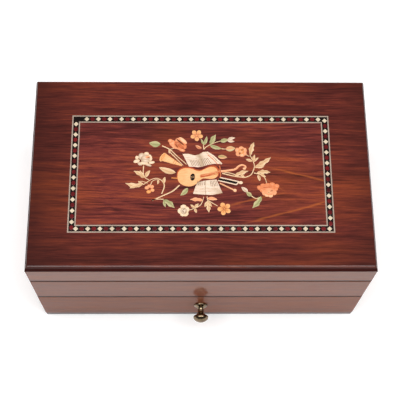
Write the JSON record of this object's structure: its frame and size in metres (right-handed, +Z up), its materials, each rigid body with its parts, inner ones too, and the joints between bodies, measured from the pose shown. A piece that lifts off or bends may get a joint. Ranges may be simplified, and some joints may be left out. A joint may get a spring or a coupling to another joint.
{
  "type": "cylinder music box",
  "caption": "Rectangular two-tier musical jewellery box with a hinged inlaid lid, a full-width lower drawer and a spring-driven cylinder movement under glass.",
  "frame": {"origin": "centre of the footprint, on the surface that the box stands on", "axes": "+X to the right seen from the front, -Y out of the drawer front, +Z up"},
  "size_m": [0.272, 0.195, 0.1328],
  "materials": {
    "lacquered_rosewood": "high gloss lacquer",
    "lid_rosewood": "satin gloss lacquer, grain along the length",
    "field_veneer": "satin gloss lacquer, grain along the length",
    "dark_base_wood": "satin lacquer",
    "black_felt": "felt",
    "drawer_wood": "oiled",
    "wine_velvet": "velvet",
    "clear_glass": "polished",
    "mirror_glass": "silvered",
    "polished_brass": "polished and lacquered",
    "gold_painted_iron": "gold bronze paint over cast iron",
    "steel": "brushed",
    "blued_steel": "heat blued",
    "antique_nickel": "antiqued, worn bright on the rims",
    "ebony_band": "lacquered",
    "ivory_string": "lacquered",
    "ivory_diamond": "lacquered",
    "coral_inlay": "dyed veneer, lacquered",
    "leaf_inlay": "dyed veneer, lacquered",
    "maple_inlay": "shaded maple veneer, lacquered",
    "holly_inlay": "pale holly veneer, lacquered"
  },
  "bodies": {
    "case": {"base_panel": "dark_base_wood", "felt_feet": "black_felt", "lower_left_side": "lacquered_rosewood", "lower_right_side": "lacquered_rosewood", "lower_back": "lacquered_rosewood", "tray_floor": "drawer_wood", "upper_front": "lacquered_rosewood", "upper_back": "lacquered_rosewood", "upper_left_side": "lacquered_rosewood", "upper_right_side": "lacquered_rosewood", "tray_lining": "wine_velvet", "tray_dividers": "wine_velvet", "ring_rolls": "wine_velvet", "movement_partition": "lacquered_rosewood", "glass_ledges": "dark_base_wood", "cover_glass": "clear_glass", "key_plate": "polished_brass", "hinge_case_leaves": "polished_brass", "hinge_pins": "polished_brass", "hinge_case_screws": "polished_brass", "bedplate": "gold_painted_iron", "movement_screws": "blued_steel", "comb": "steel", "cylinder_bearings": "polished_brass", "barrel_bracket": "polished_brass", "governor_frame": "polished_brass"},
    "lid": {"lid_panel": "lid_rosewood", "lid_front_rail": "lacquered_rosewood", "lid_back_rail": "lacquered_rosewood", "lid_left_rail": "lacquered_rosewood", "lid_right_rail": "lacquered_rosewood", "lid_veneer": "field_veneer", "border_band": "ebony_band", "border_stringing": "ivory_string", "border_diamonds": "ivory_diamond", "motif_flowers": "coral_inlay", "motif_leaves": "leaf_inlay", "motif_violin": "maple_inlay", "motif_sheets": "holly_inlay", "lid_mirror": "mirror_glass", "lid_lining": "wine_velvet", "hinge_lid_leaves": "polished_brass", "hinge_lid_screws": "polished_brass"},
    "drawer": {"drawer_front": "lacquered_rosewood", "drawer_left_side": "drawer_wood", "drawer_right_side": "drawer_wood", "drawer_back": "drawer_wood", "drawer_bottom": "drawer_wood", "drawer_lining": "wine_velvet", "drawer_knob": "antique_nickel"},
    "cylinder": {"cylinder_drum": "polished_brass", "cylinder_wheels": "polished_brass"},
    "barrel": {"spring_barrel": "polished_brass", "mainspring": "steel"},
    "winding": {"winding_arbor": "steel", "winding_key": "polished_brass"},
    "governor": {"governor_wheel": "steel"},
    "fly": {"governor_fly": "steel"},
    "click": {"click": "steel"},
    "stop_rod": {"stop_rod": "steel"}
  },
  "joints": [
    {"name": "lid_hinge", "type": "hinge", "parent": "case", "child": "lid", "pos_m": [0, 0.0838, 0.1006], "axis": [-1, 0, 0], "range_deg": [0, 97]},
    {"name": "drawer_slide", "type": "slide", "parent": "case", "child": "drawer", "axis": [0, -1, 0], "range_m": [0, 0.105]},
    {"name": "cylinder_spin", "type": "hinge", "parent": "case", "child": "cylinder", "pos_m": [-0.086, 0, 0.081], "axis": [0, 1, 0], "continuous": true},
    {"name": "barrel_spin", "type": "hinge", "parent": "case", "child": "barrel", "pos_m": [-0.1056, 0, 0.081], "axis": [0, 1, 0], "continuous": true},
    {"name": "governor_spin", "type": "hinge", "parent": "case", "child": "governor", "pos_m": [-0.101, 0, 0.081], "axis": [0, 1, 0], "continuous": true},
    {"name": "fly_spin", "type": "hinge", "parent": "case", "child": "fly", "pos_m": [-0.1096, -0.025, 0.081], "axis": [0, 0, 1], "continuous": true},
    {"name": "winding_turn", "type": "hinge", "parent": "case", "child": "winding", "pos_m": [-0.1056, 0, 0.081], "axis": [0, -1, 0], "range_deg": [0, 2520]},
    {"name": "click_pivot", "type": "hinge", "parent": "case", "child": "click", "pos_m": [-0.0961, 0.0676, 0.0845], "axis": [0, 1, 0], "range_deg": [0, 12], "stiffness_Nm_per_rad": 0.0005, "springref_deg": -17.19},
    {"name": "stop_rod_lift", "type": "slide", "parent": "case", "child": "stop_rod", "axis": [0, 0, 1], "range_m": [0, 0.003]}
  ],
  "couplings": [
    {"joint": "barrel_spin", "follows": "cylinder_spin", "ratio": -0.4},
    {"joint": "governor_spin", "follows": "cylinder_spin", "ratio": -4},
    {"joint": "fly_spin", "follows": "cylinder_spin", "ratio": 40},
    {"joint": "stop_rod_lift", "follows": "lid_hinge", "m_per_rad": 0.00177}
  ]
}
